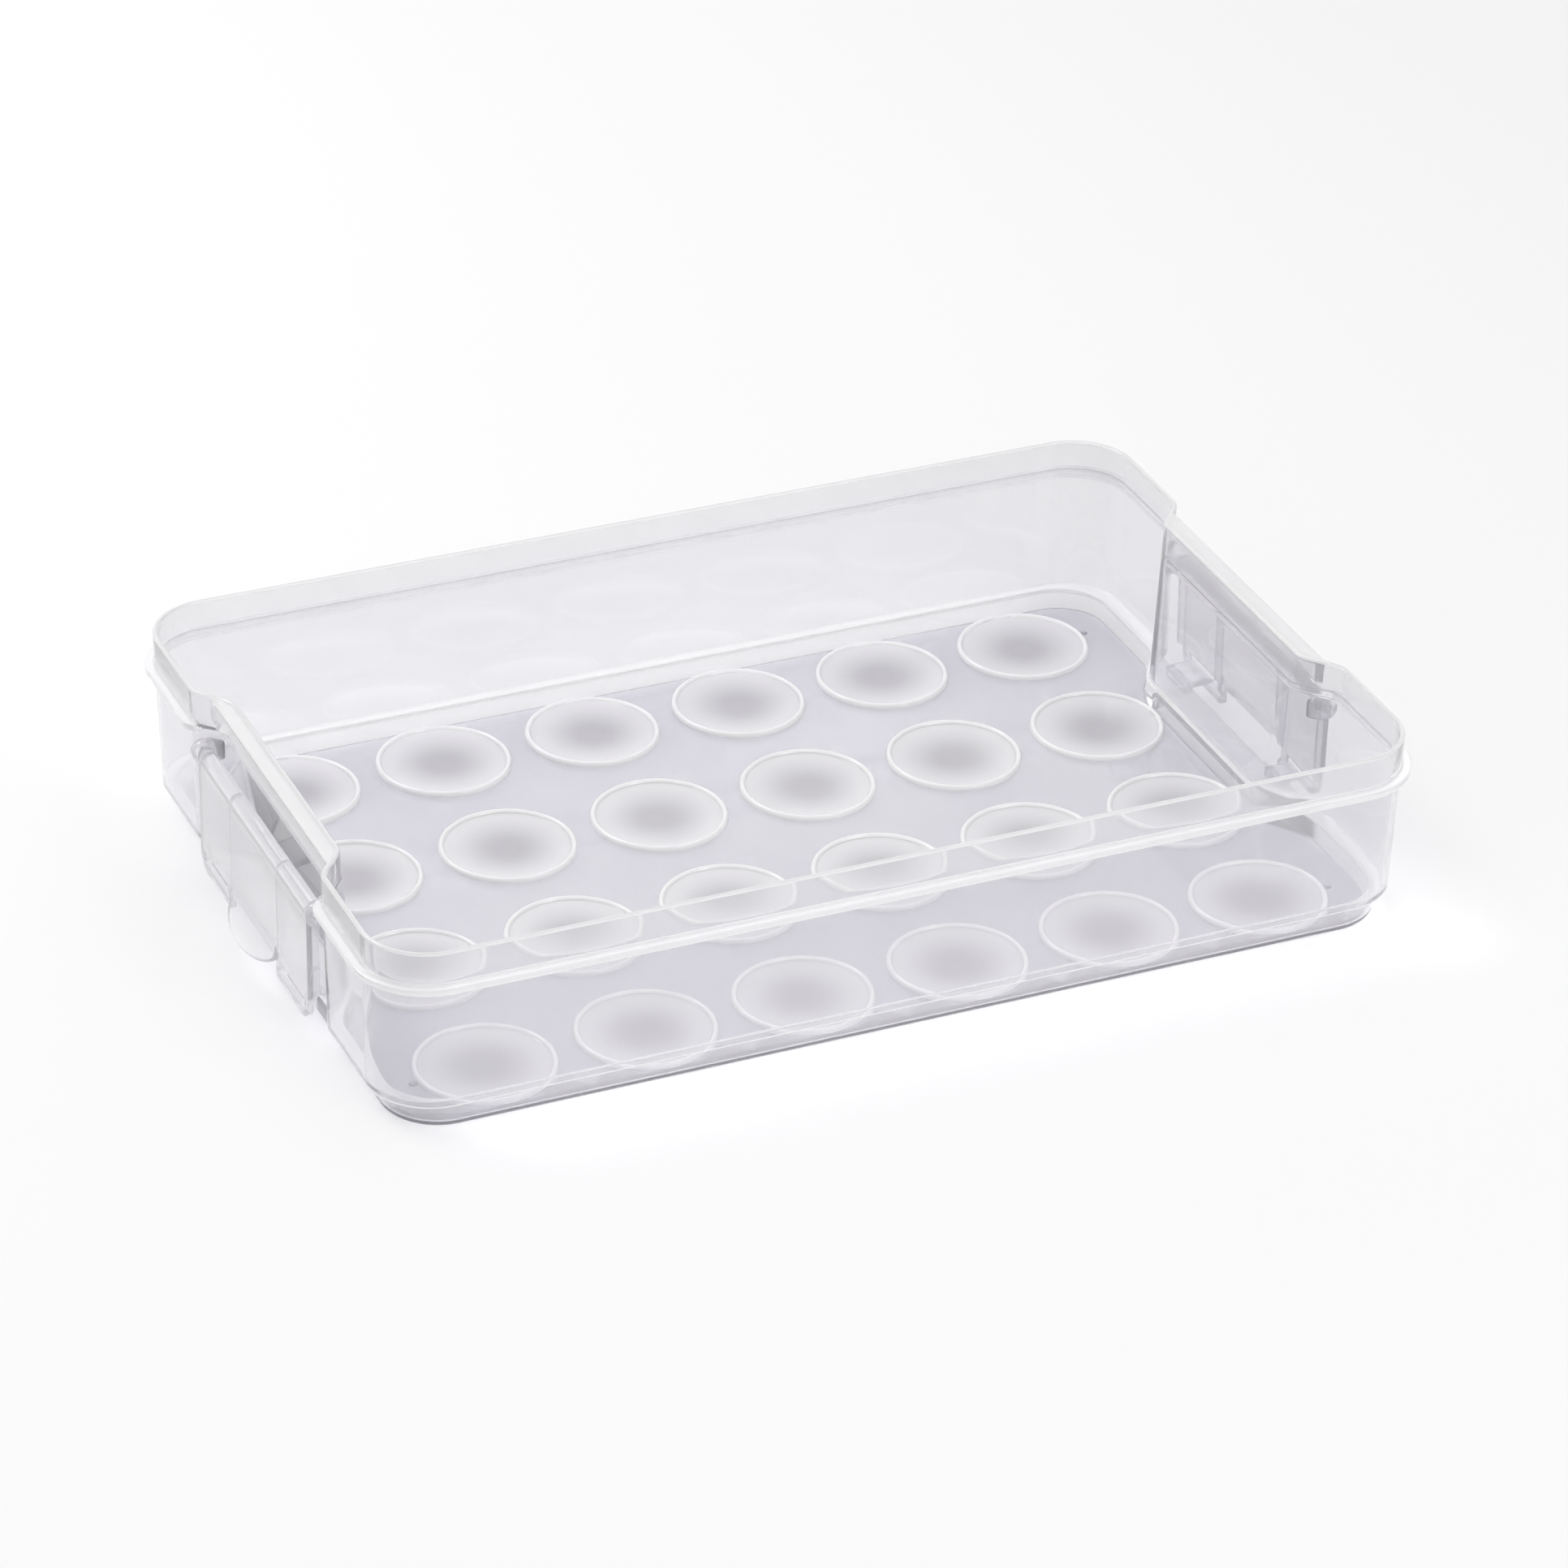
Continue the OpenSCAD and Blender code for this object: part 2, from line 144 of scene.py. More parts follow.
def clear_plastic(name, tint, cloudy, clearness, rough_low, rough_high, ripple):
    """Moulded clear plastic: a glossy shell that passes light, with faint flow ripples from the
    mould, cloudy patches in its colour and a polish that varies. Lamps reach through it."""
    material = bpy.data.materials.new(name)
    material.use_nodes = True
    tree = material.node_tree
    tree.nodes.clear()
    new, link = tree.nodes.new, tree.links.new
    place = new("ShaderNodeTexCoord")
    flow = new("ShaderNodeTexNoise")
    flow.inputs["Scale"].default_value = 22
    flow.inputs["Detail"].default_value = 3
    flow.inputs["Distortion"].default_value = 0.6
    link(place.outputs["Object"], flow.inputs["Vector"])
    colour = new("ShaderNodeMix")
    colour.data_type = "RGBA"
    colour.inputs["A"].default_value = (*tint, 1)
    colour.inputs["B"].default_value = (*cloudy, 1)
    link(flow.outputs["Fac"], colour.inputs["Factor"])
    grain = new("ShaderNodeTexNoise")
    grain.inputs["Scale"].default_value = 140
    grain.inputs["Detail"].default_value = 4
    link(place.outputs["Object"], grain.inputs["Vector"])
    polish = new("ShaderNodeMapRange")
    polish.inputs["To Min"].default_value = rough_low
    polish.inputs["To Max"].default_value = rough_high
    link(grain.outputs["Fac"], polish.inputs["Value"])
    bump = new("ShaderNodeBump")
    bump.inputs["Strength"].default_value = ripple
    bump.inputs["Distance"].default_value = 0.0004
    link(flow.outputs["Fac"], bump.inputs["Height"])
    shell = new("ShaderNodeBsdfPrincipled")
    shell.inputs["Transmission Weight"].default_value = clearness
    shell.inputs["IOR"].default_value = 1.49
    link(colour.outputs["Result"], shell.inputs["Base Color"])
    link(polish.outputs["Result"], shell.inputs["Roughness"])
    link(bump.outputs["Normal"], shell.inputs["Normal"])
    lamp_light = new("ShaderNodeBsdfTransparent")
    lamp_light.inputs["Color"].default_value = (0.9, 0.9, 0.92, 1)
    rays = new("ShaderNodeLightPath")
    mix = new("ShaderNodeMixShader")
    link(rays.outputs["Is Shadow Ray"], mix.inputs["Fac"])
    link(shell.outputs["BSDF"], mix.inputs[1])
    link(lamp_light.outputs["BSDF"], mix.inputs[2])
    output = new("ShaderNodeOutputMaterial")
    link(mix.outputs["Shader"], output.inputs["Surface"])
    return material


tray_plastic = clear_plastic("clear tray plastic", (0.93, 0.925, 0.945), (0.885, 0.875, 0.905),
                             clearness=0.87, rough_low=0.02, rough_high=0.06, ripple=0.06)

bend = np.linspace(0, np.pi / 2, 7)


def rows_of(*values):
    """The values as arrays with one number for each row."""
    return np.broadcast_arrays(*(np.atleast_1d(v).astype(float) for v in values))


def wall_rings(z, inset, out=0.0, crease=0.0):
    """Outline values of the drafted wall at heights z, set in by inset, with the ledge's reach."""
    z, inset, out, crease = rows_of(z, inset, out, crease)
    up = rise(z)
    return np.stack([
        z, wall_low_x + draft * up - inset + out, wall_low_y + draft * up - inset + out,
        corner_r - inset + out,
        pocket_low_x + pocket_lean * up - inset + crease,
        pocket_half - pocket_taper * (1 - up) + inset / 2, mouth_half + inset / 2])


def foot_rings(z, inset, spread=0.0, shelf=0.0):
    """Outline values of the foot, which runs straight under the pockets. Spread moves it out to
    meet the wall, and shelf rounds its edge in where the pocket leaves a shelf."""
    z, inset, spread, shelf = rows_of(z, inset, spread, shelf)
    same = np.ones_like(z)
    return np.stack([
        z, foot_x - inset + spread, foot_y - inset + spread, foot_corner - inset + spread,
        foot_x - inset - shelf, (pocket_half - pocket_taper) * same, mouth_half * same])


def well_rings(z, inset):
    """Outline values of the well inside the foot, which bends in round the pockets."""
    z, inset = rows_of(z, inset)
    same = np.ones_like(z)
    return np.stack([
        z, foot_x - wall - inset, foot_y - wall - inset, foot_corner - wall - inset,
        pocket_low_x - wall - pocket_step - inset,
        (pocket_half - pocket_taper + pocket_step) * same, (mouth_half + pocket_step) * same])


def ring_points(rings):
    """The points of outline rows, each row at its height."""
    plan = outline(*rings[1:])
    height = np.broadcast_to(rings[0][:, None], plan.shape[:2])
    return np.concatenate([plan, height[..., None]], -1)


round_in, round_up = 1 - np.cos(bend), np.sin(bend)
inner_bend = step_edge * 2 / 3
ledge_reach = ledge_out - ledge_edge
outer_skin = ring_points(np.concatenate([
    foot_rings(foot_edge * round_in, foot_edge * (1 - round_up)),
    foot_rings(foot_h - inner_bend * (1 - round_up), 0, inner_bend * round_in, inner_bend * round_in),
    wall_rings(foot_h + step_edge * round_in, step_edge * (1 - round_up), 0, 2 * step_edge * (1 - round_up)),
    wall_rings(ledge_z - ledge_edge * (1 - round_up), 0, ledge_edge * round_in, 0),
    wall_rings(ledge_z + ledge_edge * round_in, 0, ledge_reach + ledge_edge * round_up,
               crease_out * round_up),
    wall_rings(ledge_top - ledge_edge * (1 - round_up), 0, ledge_reach + ledge_edge * (1 - round_in),
               crease_out * (1 - round_in)),
    wall_rings(ledge_top + ledge_edge * round_in, 0, ledge_edge * (1 - round_up), 0)], 1))
inner_skin = ring_points(np.concatenate([
    wall_rings(step_z + step_edge * (1 - round_up), wall + step_edge * round_in, 0, step_edge * round_in),
    well_rings(step_z - step_edge / 2 * round_in, step_edge / 2 * (round_up - 1)),
    well_rings(floor_t + well_r * (1 - round_up), well_r * round_in)], 1))


def flange_skin():
    """The flange along each pocket's rim and the skirt that hangs from it, as rows of the wall's
    skin. A column takes part where the wall's x is less than the flange's. There the rows run out
    under the flange, down inside the skirt, round its lower edge, up its face and in over the top.
    Where the wall is nearer than the skirt's thickness, skirt and wall are one. Other columns
    stay on the wall."""
    skirt_z = tray_top - skirt_h
    edge = 0.0004
    least_gap = 0.0003
    under_rim = tray_top - wall / 2 - 0.0001
    low, high, top = ring_points(wall_rings(np.array([skirt_z, flange_z - wall, under_rim]), 0))
    low_x, high_x, top_x = abs(low[:, 0]), abs(high[:, 0]), abs(top[:, 0])
    flanged = (top_x < flange_x) & (abs(top[:, 1]) < mouth_half)
    hollow = flanged & (high_x < flange_x - wall - least_gap)
    rows = []
    for x, z in ((0, flange_z - wall), (flange_x - wall, flange_z - wall), (flange_x - wall, skirt_z)):
        row = low.copy()
        row[hollow] = top[hollow]
        row[hollow, 2] = z
        row[hollow, 0] = np.sign(top[hollow, 0]) * (x or high_x[hollow])
        rows.append(row)
    around = [(flange_x - edge + edge * np.sin(a), skirt_z + edge * (1 - np.cos(a))) for a in bend]
    around += [(flange_x - edge + edge * np.cos(a), flange_z - edge + edge * np.sin(a)) for a in bend]
    for k, (x, z) in enumerate(around):
        row = low.copy() if k < len(bend) else top.copy()
        row[flanged] = top[flanged]
        row[flanged, 0] = np.sign(top[flanged, 0]) * np.maximum(x, low_x[flanged])
        row[flanged, 2] = z
        rows.append(row)
    return np.stack(rows), flanged


def rim_skin(flanged):
    """The rim's half round. Where the flange meets it, the rim begins at the flange's top."""
    turn = np.linspace(0, np.pi, 17)
    rows = ring_points(wall_rings(tray_top - wall / 2 * (1 - np.sin(turn)), wall / 2 * (1 - np.cos(turn))))
    start = np.arcsin(1 - (tray_top - flange_z) / (wall / 2))
    root = ring_points(wall_rings(flange_z, wall / 2 * (1 - np.cos(start))))[0]
    rows[np.ix_(turn < start, flanged)] = root[flanged]
    return rows


weld_step = 0.00001


def weld(points, faces):
    """Joins points that share a place, to a hundredth of a millimetre, and leaves out faces
    that this makes flat."""
    place = np.round(points / weld_step).astype(int)
    _, first, same = np.unique(place, axis=0, return_index=True, return_inverse=True)
    same = same.reshape(-1)
    joined = [[int(same[v]) for v in f] for f in faces]
    clean = [[v for k, v in enumerate(f) if v != f[k - 1]] for f in joined]
    return points[first], [f for f in clean if len(set(f)) > 2]


def underside(rows, cols):
    """The flat underside with a rectangular hollow moulded up under each pocket's shelf: its
    corner points, and faces that meet the first row of the skin. The hollow's ends lie on the
    lines where the pocket's back ends, so five flat faces fill the rest."""
    x0, x1 = pocket_low_x - pocket_step, foot_x - wall
    y = pocket_half - pocket_taper
    roof = foot_h - wall
    plan = [(x0, -y), (x1, -y), (x1, y), (x0, y)]
    corner = [(side * px, side * py, z) for side in (1, -1) for z in (0, roof) for px, py in plan]
    start = rows * cols
    right, left = list(range(start, start + 4)), list(range(start + 8, start + 12))
    half, quarter = cols // 2, cols // 4
    a, b, c, d = quarter - 1, quarter, half + quarter - 1, half + quarter
    flat = [list(range(b, c + 1)) + [left[1], left[0], right[3], right[2]],
            list(range(d, cols)) + list(range(a + 1)) + [right[1], right[0], left[3], left[2]],
            [left[3], right[0], right[3], left[0]],
            [right[1], a, b, right[2]], [left[1], c, d, left[2]]]
    for ring in (right, left):
        flat += [[ring[k], ring[(k + 1) % 4], ring[(k + 1) % 4] + 4, ring[k] + 4] for k in range(4)]
        flat.append([v + 4 for v in ring])
    return np.array(corner), [f[::-1] for f in flat]


def closed_skin(rows):
    """A closed skin through rows of points, from the underside to the floor's middle."""
    count, cols = rows.shape[:2]
    corner, under = underside(count, cols)
    faces = grid_faces(count, cols).tolist() + under + [list(range((count - 1) * cols, count * cols))]
    return weld(np.concatenate([rows.reshape(-1, 3), corner]), faces)


flange_rows, flanged = flange_skin()
tray_rows = np.concatenate([outer_skin, flange_rows, rim_skin(flanged), inner_skin])
tray = make_piece("tray", *closed_skin(tray_rows), tray_plastic, "tray", "clear_tray")
tray.data.set_sharp_from_angle(angle=math.radians(50))
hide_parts("tray_shell")
# Painted highlight: the rim, the ledge and the steps are drawn in a whiter, less clear plastic for the light
# their rounded edges catch.
edge_highlight_plastic = clear_plastic("milky tray edges", (0.98, 0.98, 0.985), (0.95, 0.95, 0.96),
                             clearness=0.3, rough_low=0.08, rough_high=0.14, ripple=0.04)
# Painted sheen: a paler, milkier plastic on the collar and the well's wall, and on the lugs and catches,
# where it lightens the dark of their inner reflections.
painted_sheen_plastic = clear_plastic("milky tray collar", (0.97, 0.965, 0.975), (0.94, 0.935, 0.95),
                               clearness=0.74, rough_low=0.04, rough_high=0.08, ripple=0.05)


def face_middles(piece):
    """The middle of each face, one row of x, y and z for each."""
    middle = np.empty(len(piece.data.polygons) * 3)
    piece.data.polygons.foreach_get("center", middle)
    return middle.reshape(-1, 3)


def paint_highlight_bands(piece):
    """The rim, the ledge and the steps get painted highlight lines: a whiter, less clear plastic
    that stands in for the light these rounded edges catch. The collar and the well's wall get
    painted sheen, a paler plastic. A face belongs to a band by the height of its middle; the
    long wall faces inside and below the ledge belong to none."""
    x, y, z = np.abs(face_middles(piece)).T
    rim = z > tray_top - wall / 2
    beyond_pocket = (x > wall_low_x + crease_out) | (y > mouth_half)
    ledge = (z > ledge_z - ledge_edge) & (z < ledge_top + ledge_edge) & beyond_pocket
    step = (z > foot_h - inner_bend) & (z < step_z + step_edge)
    well_middle = (step_z - step_edge / 2 + floor_t + well_r) / 2
    well = np.abs(z - well_middle) < well_r / 2
    collar = ((z > ledge_top + ledge_edge) & ~rim) | well
    band = np.select([rim | ledge | step, collar], [1, 2], 0)
    piece.data.materials.append(edge_highlight_plastic)
    piece.data.materials.append(painted_sheen_plastic)
    piece.data.polygons.foreach_set("material_index", band.astype(np.int32))


paint_highlight_bands(tray)

# Hinge lugs. Two ears in each pocket, moulded on the wall, each with a hole for the clip's
# pin. The hole is a running fit.
lug_r = 0.0036
bore_r = 0.00156
lug_out_y = 0.049
lug_in_y = 0.046
lug_chamfer = 0.0003
lug_squareness = 0.15
lug_points_round = 48


def end_wall_x(y, z):
    """x of the end wall's outer face at distance y from the middle."""
    up = rise(z)
    back = pocket_half - pocket_taper * (1 - up)
    outer = wall_low_x + draft * up
    return outer - (outer - pocket_low_x - pocket_lean * up) * ease((mouth_half - y) / (mouth_half - back))


def lug_points(side_x, side_y):
    """A ring of ring: the ear's outline is a half circle whose other half is drawn out to the
    wall, carried across the ear's thickness, and back through the bore."""
    turn = np.linspace(0, 2 * np.pi, lug_points_round, endpoint=False)
    cos, sin = np.cos(turn), np.sin(turn)
    y = np.array([lug_in_y, lug_in_y + lug_chamfer, lug_out_y - lug_chamfer, lug_out_y, lug_out_y, lug_in_y])
    grow = np.array([-lug_chamfer, 0, 0, -lug_chamfer])[:, None] + lug_r
    root = hinge_x - (end_wall_x(y[:4], hinge_z) - wall / 2)
    reach = np.where(cos[None] > 0, grow * cos[None], root[:, None] * cos[None])
    tall = grow * np.where(cos[None] > 0, sin[None], np.sign(sin[None]) * np.abs(sin[None]) ** lug_squareness)
    outer = np.stack([hinge_x + reach, np.repeat(y[:4, None], lug_points_round, 1), hinge_z + tall], -1)
    ring = np.stack([hinge_x + bore_r * cos, 0 * cos, hinge_z + bore_r * sin], -1)
    bore = np.repeat(ring[None], 2, 0)
    bore[:, :, 1] = y[4:, None]
    return np.concatenate([outer, bore], 0) * [side_x, side_y, 1]


def with_copies(make, sides):
    """Points and faces of one closed ring of rings for each side, turned over where a mirror
    has turned it inside out."""
    points, faces, start = [], [], 0
    for side_x, side_y in sides:
        grid = make(side_x, side_y)
        quads = grid_faces(*grid.shape[:2], wrap_rows=True) + start
        faces.append(quads if side_x * side_y > 0 else quads[:, ::-1])
        points.append(grid.reshape(-1, 3))
        start += len(points[-1])
    return np.concatenate(points), np.concatenate(faces)


corners = [(1, 1), (1, -1), (-1, 1), (-1, -1)]
lug_mesh = with_copies(lug_points, corners)
# The lugs get the plastic with painted sheen, which lightens them against the dark of their inner
# reflections.
make_piece("hinge_lugs", lug_mesh[0], lug_mesh[1][:, ::-1], painted_sheen_plastic, "tray", "clear_tray")

# Catches. Two short blocks on each pocket's shelf, moulded with the tray. Their sloping noses
# stand in the clip's windows.
catch_y = 0.03225
catch_l = 0.013
catch_low = 0.0088
catch_h = 0.002
catch_nose = hinge_x + 0.0016
catch_root = foot_x - wall - catch_h
catch_profile = np.array([
    [catch_root, foot_h - wall / 2], [foot_x - wall / 2, foot_h - wall / 2], [foot_x - wall / 2, catch_low],
    [catch_nose, catch_low], [catch_nose, catch_low + catch_h / 2],
    [catch_nose - catch_h, catch_low + catch_h], [catch_root, catch_low + catch_h]])


def prism(profile, y0, y1):
    """A closed bar: the profile in x and z carried along y from y0 to y1, with flat ends."""
    n = len(profile)
    points = np.stack([np.stack([profile[:, 0], np.full(n, y), profile[:, 1]], -1) for y in (y0, y1)])
    faces = [f[::-1] for f in grid_faces(2, n).tolist()]
    return points.reshape(-1, 3), faces + [list(range(n)), list(range(n, 2 * n))[::-1]]


def gather(parts):
    """One set of points and faces from several closed parts."""
    start = np.cumsum([0] + [len(p) for p, _ in parts[:-1]])
    points = np.concatenate([p for p, _ in parts])
    return points, [[v + s for v in f] for (_, faces), s in zip(parts, start) for f in faces]


def turned(part, side):
    """The part as it is, or turned half way round to the other end."""
    return (part[0] * [side, side, 1], part[1])


catch_bars = [turned(prism(catch_profile, y - catch_l / 2, y + catch_l / 2), side)
              for side in (1, -1) for y in (catch_y, -catch_y)]
# The catches get the plastic with painted sheen, which lightens them against the dark of their inner
# reflections.
catches = make_piece("catches", *gather(catch_bars), painted_sheen_plastic, "tray", "clear_tray", smooth=False)


def soften(piece, width):
    """Rounds a piece's sharp edges."""
    edge = piece.modifiers.new("rounded edges", "BEVEL")
    edge.width = width
    edge.segments = 2
    edge.limit_method = "ANGLE"
    edge.angle_limit = math.radians(35)


soften(catches, 0.0003)

# Insert. One frosted moulding that lies on the tray's floor and lifts out: a thin plate with 24
# shallow dishes, each inside a raised lip.
insert_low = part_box("egg_insert")[0]
cup_cols, cup_rows = 6, 4
pitch_x, pitch_y = 0.0475, 0.0524
cup_r = 0.0185
cup_t = 0.0009
lip_w = 0.0018
lip_h = 0.0014
lip_sweep = math.radians(150)
plate_t = 0.0012
plate_z = insert_low.z
plate_top = plate_z + plate_t
plate_edge = 0.00025
insert_gap = 0.0005
side_points = 15


def cell_border(i, j):
    """The border of cup cell i, j, counter-clockwise, with side_points steps on each side."""
    t = np.arange(side_points) / side_points
    x0, y0 = (i - cup_cols / 2) * pitch_x, (j - cup_rows / 2) * pitch_y
    return np.concatenate([
        np.stack([x0 + pitch_x * t, y0 + 0 * t], -1),
        np.stack([x0 + pitch_x + 0 * t, y0 + pitch_y * t], -1),
        np.stack([x0 + pitch_x * (1 - t), y0 + pitch_y + 0 * t], -1),
        np.stack([x0 + 0 * t, y0 + pitch_y * (1 - t)], -1)])


def fit_plate(plan, out=0.0):
    """Fits the even grid of cells to the plate. The outermost cells are stretched or squeezed
    until their outer sides lie on the plate's edge, which follows the well's slope at a pocket,
    and at a corner those sides are pulled onto a quarter arc. With out they lie further out by
    that share of the edge's rounding."""
    edge = wall + insert_gap + plate_edge * (1 - out)
    edge_x, edge_y = foot_x - edge, foot_y - edge
    r = foot_corner - edge
    back, mouth = pocket_half - pocket_taper + pocket_step, mouth_half + pocket_step
    pocket = pocket_low_x - pocket_step - edge
    x, y = np.abs(plan[..., 0]), np.abs(plan[..., 1])
    inner_x, inner_y = (cup_cols / 2 - 1) * pitch_x, (cup_rows / 2 - 1) * pitch_y
    rim = (x > inner_x + pitch_x - 1e-6) | (y > inner_y + pitch_y - 1e-6)
    y = np.where(y > inner_y, inner_y + (y - inner_y) * (edge_y - inner_y) / pitch_y, y)
    slope = edge_x - (edge_x - pocket) * ease((mouth - y) / (mouth - back))
    x = np.where(x > inner_x, inner_x + (x - inner_x) * (slope - inner_x) / pitch_x, x)
    dx, dy = x - (edge_x - r), y - (edge_y - r)
    in_corner = rim & (dx > 0) & (dy > 0)
    far = np.maximum(np.hypot(dx, dy), 1e-9)
    x = np.where(in_corner, edge_x - r + dx / far * r, x)
    y = np.where(in_corner, edge_y - r + dy / far * r, y)
    return np.stack([np.where(plan[..., 0] < 0, -x, x), np.where(plan[..., 1] < 0, -y, y)], -1)


lip_r = lip_w / 2
dish_r = cup_r + lip_r + lip_r * math.cos(lip_sweep)
dish_z = plate_top + lip_h * math.sin(lip_sweep)
dish_deep = dish_z - plate_z - cup_t
dish_turn = np.linspace(np.pi / 2, 0, 15)[1:-1]
lip_turn = np.linspace(lip_sweep, 0, 12)
cup_ring_r = np.concatenate([dish_r * np.cos(dish_turn), cup_r + lip_r + lip_r * np.cos(lip_turn)])
cup_ring_z = np.concatenate([dish_z - dish_deep * np.sin(dish_turn), plate_top + lip_h * np.sin(lip_turn)])


def cell_top(i, j):
    """One cell's upper face: rings of the cup's profile, which is a quarter ellipse for the dish
    and part of an ellipse for the lip, and then the cell's border. The rings point at the
    border's points, so that neighbours share them."""
    middle = np.array([(i - (cup_cols - 1) / 2) * pitch_x, (j - (cup_rows - 1) / 2) * pitch_y])
    border = fit_plate(cell_border(i, j))
    ray = border - middle
    ray = ray / np.hypot(*ray.T)[:, None]
    plan = middle + cup_ring_r[:, None, None] * ray[None]
    rings = np.concatenate([plan, np.broadcast_to(cup_ring_z[:, None, None], plan.shape[:2] + (1,))], -1)
    edge = np.concatenate([border, np.full((len(border), 1), plate_top)], -1)
    rings = np.concatenate([rings, edge[None]])
    rows, cols = rings.shape[:2]
    points = np.concatenate([rings.reshape(-1, 3), [[*middle, dish_z - dish_deep]]])
    quads = grid_faces(rows, cols)[:, ::-1].tolist()
    return points, quads + [[k, (k + 1) % cols, rows * cols] for k in range(cols)]


def cell_under(i, j):
    """One cell's flat underside: a fan from the cup's middle to the cell's border."""
    border = fit_plate(cell_border(i, j))
    middle = [(i - (cup_cols - 1) / 2) * pitch_x, (j - (cup_rows - 1) / 2) * pitch_y]
    n = len(border)
    points = np.column_stack([np.concatenate([border, [middle]]), np.full(n + 1, plate_z)])
    return points, [[(k + 1) % n, k, n] for k in range(n)]


def plate_side():
    """The plate's side: the cells' outer border, carried round a small rounded edge to the
    underside."""
    n = side_points
    low = [cell_border(i, 0)[:n] for i in range(cup_cols)]
    right = [cell_border(cup_cols - 1, j)[n:2 * n] for j in range(cup_rows)]
    high = [cell_border(i, cup_rows - 1)[2 * n:3 * n] for i in range(cup_cols - 1, -1, -1)]
    left = [cell_border(0, j)[3 * n:] for j in range(cup_rows - 1, -1, -1)]
    border = np.concatenate(low + right + high + left)
    turn = np.linspace(0, np.pi / 2, 5)
    out = np.concatenate([np.sin(turn), np.cos(turn)])
    height = np.concatenate([plate_top - plate_edge * (1 - np.cos(turn)),
                             plate_z + plate_edge * (1 - np.sin(turn))])
    plan = np.stack([fit_plate(border, share) for share in out])
    points = np.concatenate([plan, np.broadcast_to(height[:, None, None], plan.shape[:2] + (1,))], -1)
    return points.reshape(-1, 3), grid_faces(*points.shape[:2])[:, ::-1].tolist()


insert_plastic = clear_plastic("clear insert plastic", (0.91, 0.905, 0.92), (0.86, 0.85, 0.875),
                               clearness=0.84, rough_low=0.03, rough_high=0.07, ripple=0.05)
# Painted shade: the dish plastic is dark grey, fading out towards the lip, for the shading of a deep bowl.
dish_shade_plastic = clear_plastic("frosted dish plastic", (0.66, 0.65, 0.665), (0.58, 0.57, 0.59),
                             clearness=0.42, rough_low=0.1, rough_high=0.16, ripple=0.06)
# Painted highlight: the lips are a nearly white, barely clear plastic for the bright line their curve
# catches.
lip_highlight_plastic = clear_plastic("milky lip plastic", (0.98, 0.98, 0.98), (0.96, 0.96, 0.965),
                            clearness=0.1, rough_low=0.12, rough_high=0.2, ripple=0.05)
cells = [cell(i, j) for cell in (cell_top, cell_under) for i in range(cup_cols) for j in range(cup_rows)]
plate_mesh = weld(*gather(cells + [plate_side()]))
insert = make_piece("insert", *plate_mesh, insert_plastic, "insert", "frosted_insert")
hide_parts("egg_insert")


# Share of the dish's radius inside which the painted shade is at its darkest.
shade_fade_from = 0.15


def fade_dish_shade_to_rim(material):
    """Fades a dish's painted shade out towards its lip: the grey base, which stands in for the
    shading of a deep bowl, is mixed towards a pale colour. The share grows with the distance from the
    nearest cup's middle, which is the length of the place's remainder after whole pitches."""
    tree = material.node_tree
    new, link = tree.nodes.new, tree.links.new
    place = new("ShaderNodeTexCoord")
    steps = [("MULTIPLY", (1 / pitch_x, 1 / pitch_y, 0)), ("FRACTION", None), ("SUBTRACT", (0.5, 0.5, 0)),
             ("MULTIPLY", (pitch_x, pitch_y, 0)), ("LENGTH", None)]
    last = place.outputs["Object"]
    for work, value in steps:
        node = new("ShaderNodeVectorMath")
        node.operation = work
        link(last, node.inputs[0])
        if value:
            node.inputs[1].default_value = value
        last = node.outputs["Value" if work == "LENGTH" else "Vector"]
    share = new("ShaderNodeMapRange")
    share.interpolation_type = "SMOOTHSTEP"
    share.inputs["From Min"].default_value = dish_r * shade_fade_from
    share.inputs["From Max"].default_value = dish_r
    link(last, share.inputs["Value"])
    shell = next(node for node in tree.nodes if node.type == "BSDF_PRINCIPLED")
    shade_fade = new("ShaderNodeMix")
    shade_fade.data_type = "RGBA"
    shade_fade.inputs["B"].default_value = (0.94, 0.935, 0.94, 1)
    link(share.outputs["Result"], shade_fade.inputs["Factor"])
    link(shell.inputs["Base Color"].links[0].from_socket, shade_fade.inputs["A"])
    link(shade_fade.outputs["Result"], shell.inputs["Base Color"])


def paint_cups(piece):
    """Gives the dishes' faces the frosted plastic with painted shade and the lips' faces the milky
    plastic with a painted highlight. A face is told by its height and by its distance from the
    nearest cup's middle."""
    piece.data.materials.append(dish_shade_plastic)
    piece.data.materials.append(lip_highlight_plastic)
    x, y, z = face_middles(piece).T
    far = np.hypot(((x / pitch_x) % 1 - 0.5) * pitch_x, ((y / pitch_y) % 1 - 0.5) * pitch_y)
    upper = z > plate_z + cup_t * 0.9
    dish = upper & (far < dish_r)
    lip = upper & (far >= dish_r) & (far < cup_r + lip_w)
    piece.data.polygons.foreach_set("material_index", np.select([dish, lip], [1, 2], 0).astype(np.int32))


fade_dish_shade_to_rim(dish_shade_plastic)
paint_cups(insert)
insert.data.set_sharp_from_angle(angle=math.radians(40))

# Locating pips. Small domed studs on the plate by its corners, moulded with the insert.
pip_r = 0.0013
pip_h = 0.0007
pip_sunk = 0.0001
pip_x = (cup_cols - 1) / 2 * pitch_x + cup_r + lip_w + pip_r
pip_y = ((cup_rows - 1) / 2 * pitch_y + cup_r + mouth_half) / 2 + 3 * pip_r


